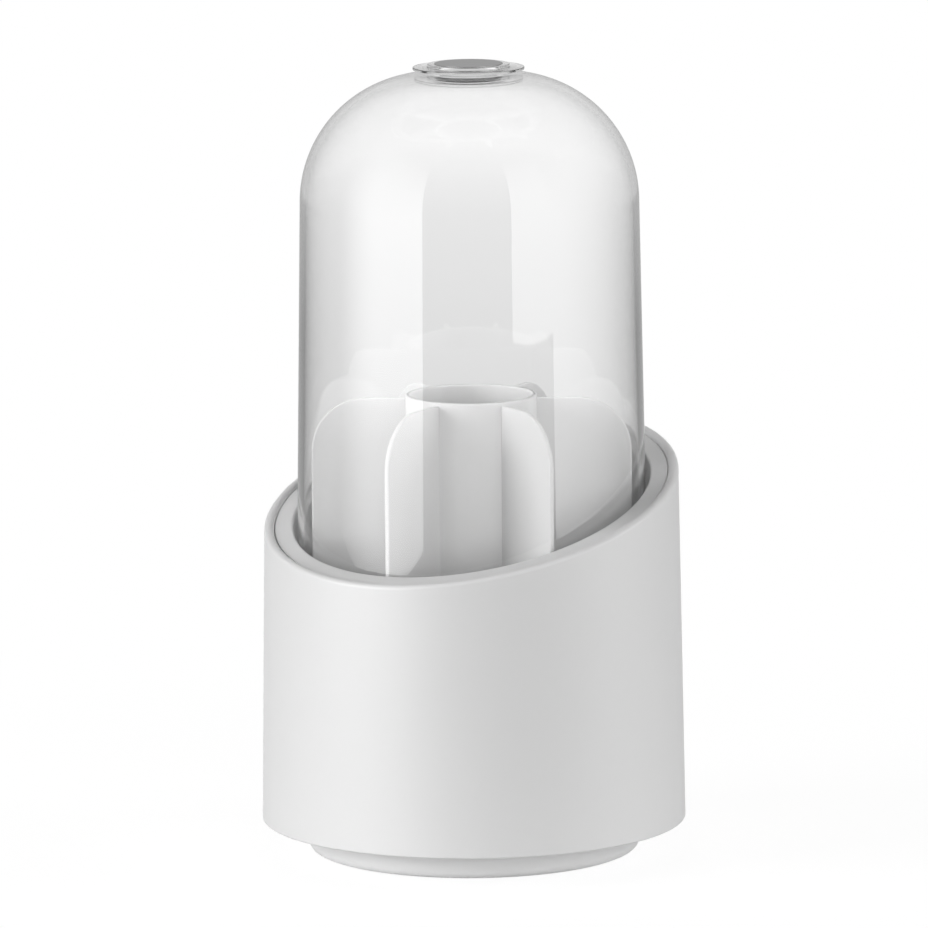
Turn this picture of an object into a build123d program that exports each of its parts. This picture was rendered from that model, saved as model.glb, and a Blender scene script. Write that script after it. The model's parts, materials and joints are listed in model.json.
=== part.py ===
from build123d import *
import math
import os

# Rotating makeup brush holder: a slanted double-walled pot on a ball-bearing foot, a clear domed
# cover and a lift-out divider. Millimetres, +Z up, -Y towards the low side of the rim. The origin
# lies on the resting surface, under the centre of the foot.

# Outer shell of the pot
shell_foot_radius = 62.5
shell_draft_degrees = 0.94
shell_wall = 3.0
shell_floor = 2.5
shell_height = 96.6
shell_foot_chamfer = 0.5
rim_slope_degrees = 16.07
rim_round = 1.3

# Inner liner of the pot
flange_width = 5.1
flange_thickness = 2.0
flange_recess = 0.9
flange_clearance = 0.3
flange_round = 0.7
liner_wall = 1.8
liner_floor = 2.0
liner_boss_height = 6.1
liner_boss_wall = 2.5
cup_depth = 44.0
seat_lip = 1.3
seat_thickness = 2.0

# Clear cover
dome_gap = 0.6
dome_draft_degrees = 1.02
dome_wall = 1.8
dome_height = 166.1
crown_radius = 13.6

# Knob on the cover
knob_radius = 16.3
knob_thickness = 0.8
knob_chamfer = 0.25
neck_radius = 8.5
neck_height = 1.2
neck_chamfer = 0.5
button_radius = 12.0
button_height = 0.9
button_chamfer = 0.3
spigot_radius = 4.0
badge_radius = 10.0
badge_thickness = 0.6
badge_proud = 0.2
badge_chamfer = 0.15

# Divider
fin_count = 6
fin_start_degrees = -90.0
fin_thickness = 1.5
fin_drop = 1.0
fin_corner_radius = 16.0
fin_edge_chamfer = 0.4
tube_radius = 19.3
tube_wall = 1.5
tube_height = 115.7
tube_rim_round = 0.5
divider_clearance = 1.6
collar_height = 4.0
collar_wall = 1.5
collar_clearance = 0.4

# Foot
foot_inset = 13.6
foot_wall = 2.0
foot_plate = 2.3
foot_edge_round = 2.4
foot_gap = 0.6
foot_rib_count = 6
foot_rib_thickness = 1.4
foot_rib_height = 2.0
pad_count = 4
pad_radius = 5.0
pad_thickness = 1.5
pad_proud = 0.5
pad_inset = 3.5
pad_chamfer = 0.3

# Turntable bearing
ball_count = 6
ball_radius = 2.0
track_clearance = 0.3
groove_depth = 1.2
race_web = 1.0
race_width = 8.5
race_rib_width = 1.2
race_rib_height = 1.2
cage_gap = 0.55
pocket_clearance = 0.3

# Centre pivot
pivot_radius = 2.0
pivot_clearance = 0.06
pivot_boss_wall = 4.0
pivot_boss_gap = 1.0
pivot_head_radius = 4.2
pivot_head_thickness = 1.6
pivot_head_sink = 0.5
washer_radius = 6.5
washer_thickness = 0.8
bush_wall = 1.7
bush_flange_width = 2.2
bush_flange_thickness = 0.8
hub_web = 2.2
hub_wall = 2.3
recess_gap = 1.0
spin_gap = 0.3

# Screws that hold the liner
screw_count = 4
screw_start_degrees = 45.0
screw_radius = 1.5
screw_head_radius = 3.0
screw_head_thickness = 1.8
screw_hole_clearance = 0.3
screw_tip_gap = 1.0
screw_side_gap = 1.4
head_chamfer = 0.6

# Fits inside one body, cuts and limits
seat_clearance = 0.05
overrun = 1.0
round_limit_share = 0.45

# Levels, from the resting surface up
foot_bottom = pad_proud
foot_plate_top = foot_bottom + foot_plate
race_thickness = race_web + groove_depth
bearing_height = 2 * (race_web + track_clearance + ball_radius)
ball_level = foot_plate_top + bearing_height / 2
shell_bottom = foot_plate_top + bearing_height
foot_top = shell_bottom - foot_gap
shell_floor_top = shell_bottom + shell_floor
liner_bottom = shell_floor_top + liner_boss_height
liner_floor_top = liner_bottom + liner_floor
seat_level = liner_floor_top + cup_depth
rim_level = shell_bottom + shell_height
crown_level = seat_level + dome_height
knob_bottom = crown_level + neck_height
knob_top = knob_bottom + knob_thickness
button_top = knob_top + button_height
badge_bottom = button_top + badge_proud - badge_thickness
tube_top = liner_floor_top + tube_height
fin_top = tube_top - fin_drop
head_bottom = foot_bottom + pivot_head_sink
washer_bottom = head_bottom + pivot_head_thickness
recess_top = washer_bottom + washer_thickness + spin_gap
hub_top = recess_top + hub_web
bush_top = hub_top + bush_flange_thickness
pivot_boss_bottom = bush_top + spin_gap
pivot_boss_top = liner_bottom - pivot_boss_gap
pivot_tip = pivot_boss_top - screw_tip_gap

# Drafts, the slanted rim, and a blank height that stands above all of it
shell_draft = math.radians(shell_draft_degrees)
dome_draft = math.radians(dome_draft_degrees)
rim_slope = math.radians(rim_slope_degrees)
rim_plane = Plane(origin=(0, 0, rim_level), z_dir=(0, -math.sin(rim_slope), math.cos(rim_slope)))
flange_top_plane = rim_plane.offset(-flange_recess)
flange_bottom_plane = flange_top_plane.offset(-flange_thickness)
blank_top = rim_level + shell_foot_radius * math.tan(rim_slope) + overrun


def shell_radius(level):
    """Outer radius of the drafted shell at a level."""
    return shell_foot_radius - (level - shell_bottom) * math.tan(shell_draft)


def dome_radius(level):
    """Outer radius of the cover's drafted wall at a level."""
    return dome_foot_radius - (level - seat_level) * math.tan(dome_draft)


# Radii, from the shell inwards
opening_radius = shell_radius(rim_level) - shell_wall - flange_clearance - flange_width
dome_foot_radius = opening_radius - dome_gap
dome_corner_angle = math.pi / 2 + dome_draft
dome_shoulder_radius = (dome_radius(crown_level) - crown_radius) * math.tan(dome_corner_angle / 2)
cup_radius = dome_foot_radius - dome_wall - seat_lip
fin_radius = cup_radius - divider_clearance
collar_radius = tube_radius - tube_wall - collar_clearance
foot_radius = shell_foot_radius - foot_inset
foot_inner_radius = foot_radius - foot_wall
pad_circle_radius = foot_radius - foot_edge_round - pad_inset - pad_radius
screw_circle_radius = foot_inner_radius - screw_side_gap - screw_head_radius
race_outer_radius = screw_circle_radius - screw_head_radius - screw_side_gap
race_inner_radius = race_outer_radius - race_width
track_radius = race_outer_radius - race_width / 2
race_rib_outer_radius = race_inner_radius - seat_clearance
race_rib_inner_radius = race_rib_outer_radius - race_rib_width
bush_radius = pivot_radius + pivot_clearance + bush_wall
recess_radius = washer_radius + recess_gap
hub_radius = recess_radius + hub_wall

os.makedirs("parts", exist_ok=True)

# Outer shell: drafted wall and floor, cut along the slanted rim, whose two edges are rounded
with BuildPart() as outer_shell:
    with BuildSketch(Plane.XZ):
        with BuildLine():
            Polyline(
                (0, shell_bottom),
                (shell_foot_radius, shell_bottom),
                (shell_radius(blank_top), blank_top),
                (shell_radius(blank_top) - shell_wall, blank_top),
                (shell_radius(shell_floor_top) - shell_wall, shell_floor_top),
                (0, shell_floor_top),
                close=True,
            )
        make_face()
    revolve(axis=Axis.Z)
    split(bisect_by=rim_plane, keep=Keep.BOTTOM)
    fillet(outer_shell.faces().sort_by(Axis.Z)[-1].edges(), min(rim_round, shell_wall * round_limit_share))
    chamfer(outer_shell.faces().sort_by(Axis.Z)[0].edges(), shell_foot_chamfer)
    # Boss for the pivot screw, through the floor
    with BuildSketch(Plane.XY.offset(pivot_boss_bottom)):
        Circle(pivot_radius + pivot_boss_wall)
    extrude(amount=pivot_boss_top - pivot_boss_bottom)
    # Ring that centres the upper race
    with BuildSketch(Plane.XY.offset(shell_bottom)):
        Circle(race_rib_outer_radius)
        Circle(race_rib_inner_radius, mode=Mode.SUBTRACT)
    extrude(amount=-race_rib_height)
    with Locations((0, 0, pivot_boss_top)):
        Hole(pivot_radius + seat_clearance)
    with BuildSketch(Plane.XY.offset(shell_floor_top)):
        with PolarLocations(screw_circle_radius, screw_count, screw_start_degrees):
            Circle(screw_radius + screw_hole_clearance)
    extrude(amount=-shell_floor, mode=Mode.SUBTRACT)
outer_shell.part.label = "outer_shell"
export_step(outer_shell.part, "parts/outer_shell.step")

# Blank of the liner's slanted flange, drafted like the wall that it fits inside
with BuildPart() as flange_blank:
    with BuildSketch(Plane.XZ):
        with BuildLine():
            Polyline(
                (opening_radius, seat_level),
                (shell_radius(seat_level) - shell_wall - flange_clearance, seat_level),
                (shell_radius(blank_top) - shell_wall - flange_clearance, blank_top),
                (opening_radius, blank_top),
                close=True,
            )
        make_face()
    revolve(axis=Axis.Z)
    split(bisect_by=flange_bottom_plane, keep=Keep.TOP)

# Inner liner: cup for the divider, seat for the cover, wide mouth and slanted flange
with BuildPart() as inner_liner:
    with BuildSketch(Plane.XZ):
        with BuildLine():
            Polyline(
                (0, liner_bottom),
                (cup_radius + liner_wall, liner_bottom),
                (cup_radius + liner_wall, seat_level - seat_thickness),
                (opening_radius + liner_wall, seat_level - seat_thickness),
                (opening_radius + liner_wall, blank_top),
                (opening_radius, blank_top),
                (opening_radius, seat_level),
                (cup_radius, seat_level),
                (cup_radius, liner_floor_top),
                (0, liner_floor_top),
                close=True,
            )
        make_face()
    revolve(axis=Axis.Z)
    add(flange_blank.part)
    split(bisect_by=flange_top_plane, keep=Keep.BOTTOM)
    mouth = inner_liner.faces().sort_by(Axis.Z)[-1].inner_wires()[0]
    fillet(mouth.edges(), min(flange_round, liner_wall * round_limit_share))
    # Ring on the floor that centres the divider's tube
    with BuildSketch(Plane.XY.offset(liner_floor_top)):
        Circle(collar_radius)
        Circle(collar_radius - collar_wall, mode=Mode.SUBTRACT)
    extrude(amount=collar_height)
    # Screw bosses down to the shell's floor
    with BuildSketch(Plane.XY.offset(shell_floor_top)):
        with PolarLocations(screw_circle_radius, screw_count, screw_start_degrees):
            Circle(screw_radius + liner_boss_wall)
            Circle(screw_radius + seat_clearance, mode=Mode.SUBTRACT)
    extrude(amount=liner_boss_height)
inner_liner.part.label = "inner_liner"
export_step(inner_liner.part, "parts/inner_liner.step")

# One screw, head down, then the set
with BuildPart() as liner_screw:
    with BuildSketch(Plane.XY.offset(shell_bottom - screw_head_thickness)):
        Circle(screw_head_radius)
    extrude(amount=screw_head_thickness)
    chamfer(liner_screw.faces().sort_by(Axis.Z)[0].edges(), head_chamfer)
    with BuildSketch(Plane.XY.offset(shell_bottom)):
        Circle(screw_radius)
    extrude(amount=shell_floor + liner_boss_height - screw_tip_gap)

with BuildPart() as liner_screws:
    with PolarLocations(screw_circle_radius, screw_count, screw_start_degrees):
        add(liner_screw.part)
liner_screws.part.label = "liner_screws"
export_step(liner_screws.part, "parts/liner_screws.step")

# Clear cover: drafted wall, shoulder arc and flat crown, with a hole for the knob's spigot
with BuildPart() as dome_cover:
    with BuildSketch(Plane.XZ):
        with BuildLine():
            crown_inside = crown_level - dome_wall
            crown_hole_radius = spigot_radius + seat_clearance
            outer = FilletPolyline(
                (dome_foot_radius, seat_level),
                (dome_radius(crown_level), crown_level),
                (crown_hole_radius, crown_level),
                radius=dome_shoulder_radius,
            )
            inner = FilletPolyline(
                (crown_hole_radius, crown_inside),
                (dome_radius(crown_inside) - dome_wall, crown_inside),
                (dome_foot_radius - dome_wall, seat_level),
                radius=dome_shoulder_radius - dome_wall,
            )
            Line(outer @ 1, inner @ 0)
            Line(inner @ 1, outer @ 0)
        make_face()
    revolve(axis=Axis.Z)
dome_cover.part.label = "dome_cover"
export_step(dome_cover.part, "parts/dome_cover.step")

# Knob: thin disc with a raised button that takes the badge, on a neck with a spigot into the crown
with BuildPart() as knob:
    with BuildSketch(Plane.XZ):
        with BuildLine():
            Polyline(
                (0, badge_bottom),
                (badge_radius + seat_clearance, badge_bottom),
                (badge_radius + seat_clearance, button_top),
                (button_radius, button_top),
                (button_radius, knob_top),
                (knob_radius, knob_top),
                (knob_radius, knob_bottom),
                (neck_radius, knob_bottom),
                (neck_radius, crown_level),
                (spigot_radius, crown_level),
                (spigot_radius, crown_level - dome_wall),
                (0, crown_level - dome_wall),
                close=True,
            )
        make_face()
    revolve(axis=Axis.Z)
    circles = knob.edges().filter_by(GeomType.CIRCLE)
    rim_edges = circles.group_by(SortBy.RADIUS)[-1]
    button_edge = circles.filter_by(lambda e: e.radius == button_radius).sort_by(Axis.Z)[-1]
    neck_edge = circles.filter_by(lambda e: e.radius == neck_radius).sort_by(Axis.Z)[-1]
    chamfer(rim_edges, min(knob_chamfer, knob_thickness * round_limit_share))
    chamfer(button_edge, min(button_chamfer, button_height * round_limit_share))
    chamfer(neck_edge, min(neck_chamfer, neck_height * round_limit_share))
knob.part.label = "knob"
export_step(knob.part, "parts/knob.step")

with BuildPart() as knob_badge:
    with BuildSketch(Plane.XY.offset(badge_bottom)):
        Circle(badge_radius)
    extrude(amount=badge_thickness)
    chamfer(knob_badge.faces().sort_by(Axis.Z)[-1].edges(), badge_chamfer)
knob_badge.part.label = "knob_badge"
export_step(knob_badge.part, "parts/knob_badge.step")

# One fin, rooted in the tube's wall, with a rounded outer top corner and softened edges
with BuildPart() as fin:
    fin_root = tube_radius - tube_wall / 2
    with BuildSketch(Plane.XZ):
        with BuildLine():
            corner = FilletPolyline(
                (fin_radius, liner_floor_top),
                (fin_radius, fin_top),
                (fin_root, fin_top),
                radius=fin_corner_radius,
            )
            Polyline(corner @ 1, (fin_root, liner_floor_top), corner @ 0)
        make_face()
    extrude(amount=fin_thickness / 2, both=True)
    free_edges = (
        fin.faces()
        .filter_by(Axis.Y)
        .edges()
        .filter_by(lambda e: e.center().X > tube_radius and e.center().Z > liner_floor_top + fin_drop)
    )
    chamfer(free_edges, min(fin_edge_chamfer, fin_thickness * round_limit_share))

# Divider: tube and fins in one moulding
with BuildPart() as divider:
    with BuildSketch(Plane.XY.offset(liner_floor_top)):
        Circle(tube_radius)
        Circle(tube_radius - tube_wall, mode=Mode.SUBTRACT)
    extrude(amount=tube_height)
    fillet(divider.faces().sort_by(Axis.Z)[-1].edges(), min(tube_rim_round, tube_wall * round_limit_share))
    with PolarLocations(0, fin_count, fin_start_degrees):
        add(fin.part)
divider.part.label = "divider"
export_step(divider.part, "parts/divider.step")

# Foot: shallow dish with a hub over a screw recess, ribs, a race ring and pad pockets
with BuildPart() as foot_dish:
    with BuildSketch(Plane.XZ):
        with BuildLine():
            Polyline(
                (recess_radius, foot_bottom),
                (foot_radius, foot_bottom),
                (foot_radius, foot_top),
                (foot_inner_radius, foot_top),
                (foot_inner_radius, foot_plate_top),
                (hub_radius, foot_plate_top),
                (hub_radius, hub_top),
                (bush_radius + seat_clearance, hub_top),
                (bush_radius + seat_clearance, recess_top),
                (recess_radius, recess_top),
                close=True,
            )
        make_face()
    revolve(axis=Axis.Z)
    fillet(foot_dish.edges().filter_by(GeomType.CIRCLE).group_by(SortBy.RADIUS)[-1].sort_by(Axis.Z)[0],
           foot_edge_round)
    with BuildSketch(Plane.XY.offset(foot_plate_top)):
        Circle(race_rib_outer_radius)
        Circle(race_rib_inner_radius, mode=Mode.SUBTRACT)
    extrude(amount=race_rib_height)
    with BuildSketch(Plane.XY.offset(foot_plate_top)):
        with PolarLocations((hub_radius + race_rib_inner_radius) / 2, foot_rib_count):
            Rectangle(race_rib_inner_radius - hub_radius + race_rib_width, foot_rib_thickness)
    extrude(amount=foot_rib_height)
    with BuildSketch(Plane.XY.offset(foot_bottom)):
        with PolarLocations(pad_circle_radius, pad_count):
            Circle(pad_radius + seat_clearance)
    extrude(amount=pad_thickness - pad_proud, mode=Mode.SUBTRACT)
foot_dish.part.label = "foot_dish"
export_step(foot_dish.part, "parts/foot_dish.step")

with BuildPart() as grip_pads:
    with BuildSketch():
        with PolarLocations(pad_circle_radius, pad_count):
            Circle(pad_radius)
    extrude(amount=pad_thickness)
    chamfer(grip_pads.faces().group_by(Axis.Z)[0].edges(), pad_chamfer)
grip_pads.part.label = "grip_pads"
export_step(grip_pads.part, "parts/grip_pads.step")

# Bearing: two grooved races, and the balls in their cage between them
with BuildPart() as lower_race:
    with BuildSketch(Plane.XY.offset(foot_plate_top)):
        Circle(race_outer_radius)
        Circle(race_inner_radius, mode=Mode.SUBTRACT)
    extrude(amount=race_thickness)
    with Locations((0, 0, ball_level)):
        Torus(track_radius, ball_radius + track_clearance, mode=Mode.SUBTRACT)
lower_race.part.label = "lower_race"
export_step(lower_race.part, "parts/lower_race.step")

with BuildPart() as upper_race:
    with BuildSketch(Plane.XY.offset(shell_bottom)):
        Circle(race_outer_radius)
        Circle(race_inner_radius, mode=Mode.SUBTRACT)
    extrude(amount=-race_thickness)
    with Locations((0, 0, ball_level)):
        Torus(track_radius, ball_radius + track_clearance, mode=Mode.SUBTRACT)
upper_race.part.label = "upper_race"
export_step(upper_race.part, "parts/upper_race.step")

with BuildPart() as ball_cage:
    cage_thickness = bearing_height - 2 * (race_thickness + cage_gap)
    with BuildSketch(Plane.XY.offset(ball_level)):
        Circle(race_outer_radius)
        Circle(race_inner_radius, mode=Mode.SUBTRACT)
        with PolarLocations(track_radius, ball_count):
            Circle(ball_radius + pocket_clearance, mode=Mode.SUBTRACT)
    extrude(amount=cage_thickness / 2, both=True)
ball_cage.part.label = "ball_cage"
export_step(ball_cage.part, "parts/ball_cage.step")

with BuildPart(Plane.XY.offset(ball_level)) as bearing_balls:
    with PolarLocations(track_radius, ball_count):
        Sphere(ball_radius)
bearing_balls.part.label = "bearing_balls"
export_step(bearing_balls.part, "parts/bearing_balls.step")

# Pivot: flanged bush in the hub, and a screw with its washer from below into the shell's boss
with BuildPart() as pivot_bush:
    with BuildSketch(Plane.XY.offset(recess_top)):
        Circle(bush_radius)
    extrude(amount=hub_web)
    with BuildSketch(Plane.XY.offset(hub_top)):
        Circle(bush_radius + bush_flange_width)
    extrude(amount=bush_flange_thickness)
    with Locations((0, 0, bush_top)):
        Hole(pivot_radius + pivot_clearance)
pivot_bush.part.label = "pivot_bush"
export_step(pivot_bush.part, "parts/pivot_bush.step")

with BuildPart() as pivot_washer:
    with BuildSketch(Plane.XY.offset(washer_bottom)):
        Circle(washer_radius)
        Circle(pivot_radius + seat_clearance, mode=Mode.SUBTRACT)
    extrude(amount=washer_thickness)
pivot_washer.part.label = "pivot_washer"
export_step(pivot_washer.part, "parts/pivot_washer.step")

with BuildPart() as pivot_screw:
    with BuildSketch(Plane.XY.offset(head_bottom)):
        Circle(pivot_head_radius)
    extrude(amount=pivot_head_thickness)
    chamfer(pivot_screw.faces().sort_by(Axis.Z)[0].edges(), head_chamfer)
    with BuildSketch(Plane.XY.offset(washer_bottom)):
        Circle(pivot_radius)
    extrude(amount=pivot_tip - washer_bottom)
pivot_screw.part.label = "pivot_screw"
export_step(pivot_screw.part, "parts/pivot_screw.step")
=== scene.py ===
"""Dress a rotating makeup brush holder and light it as a studio product shot.

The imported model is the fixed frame. Each sub-assembly is a class that works out its surfaces with
numpy, in metres and in the frame's own place, and gives them their finish.
"""

import json
import logging
import math
from collections.abc import Sequence
from dataclasses import dataclass, field
from enum import Enum
from functools import lru_cache
from typing import Any

import bmesh
import bpy
import numpy as np
from mathutils import Euler, Matrix, Vector


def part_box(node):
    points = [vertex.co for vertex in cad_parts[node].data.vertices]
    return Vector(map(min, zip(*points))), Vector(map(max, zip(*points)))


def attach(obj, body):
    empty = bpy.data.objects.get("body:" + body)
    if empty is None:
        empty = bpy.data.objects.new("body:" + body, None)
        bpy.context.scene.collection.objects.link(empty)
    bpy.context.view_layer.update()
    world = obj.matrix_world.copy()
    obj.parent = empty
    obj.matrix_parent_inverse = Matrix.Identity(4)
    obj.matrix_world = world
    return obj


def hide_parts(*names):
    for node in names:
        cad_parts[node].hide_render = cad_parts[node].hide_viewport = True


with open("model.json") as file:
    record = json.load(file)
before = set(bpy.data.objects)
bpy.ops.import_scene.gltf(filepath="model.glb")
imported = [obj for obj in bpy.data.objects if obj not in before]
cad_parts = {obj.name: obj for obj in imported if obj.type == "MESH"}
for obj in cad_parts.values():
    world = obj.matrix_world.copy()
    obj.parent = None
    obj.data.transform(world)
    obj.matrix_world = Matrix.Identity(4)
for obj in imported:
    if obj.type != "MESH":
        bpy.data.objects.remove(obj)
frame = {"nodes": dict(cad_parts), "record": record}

MM: float = 0.001
# Columns of a full turn, and the fewest steps of an arc
TURN_STEPS: int = 192
ARC_STEPS: int = 6
# Distance from the arc of a small edge to its guard points
FINE_GUARD: float = 0.1 * MM
# Points nearer than this become one, and edges sharper than this stay sharp
WELD_DISTANCE: float = 0.001 * MM
SHARP_ANGLE: float = math.radians(40)
# A whole number of reflections above this is one or more
ANY_REFLECTION: float = 0.5
LOG = logging.getLogger("brush_holder")
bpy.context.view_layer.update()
BODY_OF: dict[str, str] = {
    node: body for body, nodes in frame["record"]["behaviour"]["bodies"].items() for node in nodes
}

Array = np.ndarray
Socket = bpy.types.NodeSocket
Tree = bpy.types.NodeTree


class Node(Enum):
    """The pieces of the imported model, by the name of their node."""

    FOOT_DISH = "foot_dish"
    GRIP_PADS = "grip_pads"
    LOWER_RACE = "lower_race"
    PIVOT_BUSH = "pivot_bush"
    BALL_CAGE = "ball_cage"
    BEARING_BALLS = "bearing_balls"
    OUTER_SHELL = "outer_shell"
    INNER_LINER = "inner_liner"
    LINER_SCREWS = "liner_screws"
    UPPER_RACE = "upper_race"
    PIVOT_SCREW = "pivot_screw"
    PIVOT_WASHER = "pivot_washer"
    DIVIDER = "divider"
    DOME_COVER = "dome_cover"
    KNOB = "knob"
    KNOB_BADGE = "knob_badge"

    def reach(self) -> float:
        """Largest X of the node, which is the outer radius of a round one."""
        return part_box(self.value)[1].x

    def bottom(self) -> float:
        """Lowest Z of the node."""
        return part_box(self.value)[0].z

    def top(self) -> float:
        """Highest Z of the node."""
        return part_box(self.value)[1].z


def linear(hex_colour: str) -> tuple[float, float, float, float]:
    """Turn an sRGB colour into the linear one that shaders take.

    Args:
        hex_colour: colour as #RRGGBB.

    Returns:
        Red, green and blue in linear light, and an alpha of 1.
    """
    channels = np.array(list(bytes.fromhex(hex_colour.lstrip("#")))) / 255
    values = np.where(channels <= 0.04045, channels / 12.92, ((channels + 0.055) / 1.055) ** 2.4)
    return (*values.tolist(), 1.0)


def add_node(
    tree: Tree, kind: str, settings: dict[str, Any] | None = None, inputs: dict[Any, Any] | None = None
) -> bpy.types.Node:
    """Add one shader node, set its properties and fill its sockets.

    Args:
        tree: node tree that gets the node.
        kind: type of the node, such as ShaderNodeBump.
        settings: properties of the node itself.
        inputs: name or number of an input, and its value or the output that is linked to it.

    Returns:
        The new node.
    """
    node = tree.nodes.new(kind)
    for name, value in (settings or {}).items():
        setattr(node, name, value)
    for name, value in (inputs or {}).items():
        if isinstance(value, Socket):
            tree.links.new(value, node.inputs[name])
        else:
            node.inputs[name].default_value = value
    return node


@dataclass(frozen=True)
class Finish:
    """A surface finish, which makes one material."""

    name: str

    def shader(self, tree: Tree) -> Socket:
        """Build the finish in a material's node tree and return its surface shader."""
        raise NotImplementedError

    def grain(self, tree: Tree, size: float, depth: float) -> Socket:
        """Rough a surface with fine even grain.

        Args:
            tree: node tree of the material.
            size: width of one grain in metres.
            depth: height of the grain in metres.

        Returns:
            The normal of the grained surface.
        """
        place = add_node(tree, "ShaderNodeTexCoord").outputs["Object"]
        noise = add_node(tree, "ShaderNodeTexNoise", inputs={"Vector": place, "Scale": 1 / size})
        bump = add_node(tree, "ShaderNodeBump", inputs={"Height": noise.outputs["Fac"], "Distance": depth})
        return bump.outputs["Normal"]


@lru_cache(maxsize=None)
def material_of(finish: Finish) -> bpy.types.Material:
    """Make the material of a finish, once.

    Args:
        finish: the finish.

    Returns:
        Its material.
    """
    material = bpy.data.materials.new(finish.name)
    material.use_nodes = True
    tree = material.node_tree
    tree.nodes.clear()
    add_node(tree, "ShaderNodeOutputMaterial", inputs={"Surface": finish.shader(tree)})
    return material


@dataclass(frozen=True)
class MouldedPlastic(Finish):
    """Opaque injection-moulded plastic.

    The mould's spark-eroded skin leaves a fine even grain, which spreads highlights to soft bands, and
    its gloss varies a little in broad patches. The grain is drawn coarser than it is, so that it shows
    at all.
    """

    colour: str
    roughness: float
    ior: float = 1.54
    grain_size: float = 0.5 * MM
    grain_depth: float = 0.01 * MM
    patch_size: float = 20 * MM
    gloss_spread: float = 0.08

    def shader(self, tree: Tree) -> Socket:
        """Build grained plastic whose gloss varies a little.

        Args:
            tree: node tree of the material.

        Returns:
            The surface shader.
        """
        place = add_node(tree, "ShaderNodeTexCoord").outputs["Object"]
        patches = add_node(
            tree, "ShaderNodeTexNoise", inputs={"Vector": place, "Scale": 1 / self.patch_size}
        )
        gloss = add_node(
            tree,
            "ShaderNodeMapRange",
            inputs={
                "Value": patches.outputs["Fac"],
                "To Min": (1 - self.gloss_spread) * self.roughness,
                "To Max": (1 + self.gloss_spread) * self.roughness,
            },
        )
        principled = add_node(
            tree,
            "ShaderNodeBsdfPrincipled",
            inputs={
                "Base Color": linear(self.colour),
                "Roughness": gloss.outputs["Result"],
                "IOR": self.ior,
                "Normal": self.grain(tree, self.grain_size, self.grain_depth),
            },
        )
        return principled.outputs["BSDF"]


@dataclass(frozen=True)
class ClearPlastic(Finish):
    """Clear polished polystyrene, which bends light and shows sharp reflections.

    Shadow rays go straight through, so that lamps light what stands inside.
    """

    colour: str
    roughness: float = 0.02
    ior: float = 1.58

    def shader(self, tree: Tree) -> Socket:
        """Build clear plastic that lets lamps through.

        Args:
            tree: node tree of the material.

        Returns:
            The surface shader.
        """
        principled = add_node(
            tree,
            "ShaderNodeBsdfPrincipled",
            inputs={
                "Base Color": linear(self.colour),
                "Roughness": self.roughness,
                "IOR": self.ior,
                "Transmission Weight": 1.0,
            },
        )
        path = add_node(tree, "ShaderNodeLightPath")
        through = add_node(tree, "ShaderNodeBsdfTransparent", inputs={"Color": linear(self.colour)})
        mixed = add_node(
            tree,
            "ShaderNodeMixShader",
            inputs={
                0: path.outputs["Is Shadow Ray"],
                1: principled.outputs["BSDF"],
                2: through.outputs["BSDF"],
            },
        )
        return mixed.outputs["Shader"]


@dataclass(frozen=True)
class Metal(Finish):
    """Bare or plated metal with fine drawn or tumbled marks."""

    colour: str
    roughness: float
    mark_size: float = 0.3 * MM
    mark_depth: float = 0.004 * MM

    def shader(self, tree: Tree) -> Socket:
        """Build metal with fine marks.

        Args:
            tree: node tree of the material.

        Returns:
            The surface shader.
        """
        principled = add_node(
            tree,
            "ShaderNodeBsdfPrincipled",
            inputs={
                "Base Color": linear(self.colour),
                "Metallic": 1.0,
                "Roughness": self.roughness,
                "Normal": self.grain(tree, self.mark_size, self.mark_depth),
            },
        )
        return principled.outputs["BSDF"]


# White ABS of the pot and the foot: satin, neutral, with broad soft highlights
SHELL_ABS = MouldedPlastic("satin_white_abs", "#E6E6E6", roughness=0.36)
LINER_ABS = MouldedPlastic("liner_white_abs", "#E6E6E6", roughness=0.36)
# The foot's white is painted lighter than the pot's: painted light in place of the shade under the pot's
# overhang
FOOT_ABS_PAINTED_LIGHTER = MouldedPlastic("foot_white_abs_painted_lighter", "#EEEEEE", roughness=0.4)
# White polystyrene of the divider: smoother, with a little shine on its edges
DIVIDER_PS = MouldedPlastic("semigloss_white_polystyrene", "#DCDCDC", roughness=0.32, ior=1.59)
# Clear polystyrene of the cover: polished, with sharp reflections and dark edges
COVER_PS = ClearPlastic("clear_polystyrene", "#FFFFFF")
# The knob's is softer and bends light less than the real one, so that its edges show only faintly
KNOB_PS = ClearPlastic("knob_clear_polystyrene", "#FFFFFF", roughness=0.1, ior=1.15)
# Grey foil face of the knob's disc: soft metallic sheen
BADGE_FOIL = Metal("satin_grey_foil", "#9A9A9A", roughness=0.38)
# Rubber pads: dull pale grey
PAD_RUBBER = MouldedPlastic("pale_grey_rubber", "#C4C4C4", roughness=0.75, ior=1.52)
# Bearing and fasteners: plated steel, polished balls, nylon cage, acetal bush
RACE_STEEL = Metal("plated_steel", "#C6C6C8", roughness=0.32)
BALL_STEEL = Metal("polished_bearing_steel", "#D8D8DA", roughness=0.1)
SCREW_ZINC = Metal("zinc_plated_steel", "#C8C9CC", roughness=0.35)
CAGE_NYLON = MouldedPlastic("natural_nylon", "#E9E6DA", roughness=0.45, ior=1.53)
BUSH_ACETAL = MouldedPlastic("natural_acetal", "#ECEAE2", roughness=0.35, ior=1.48)


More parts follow.
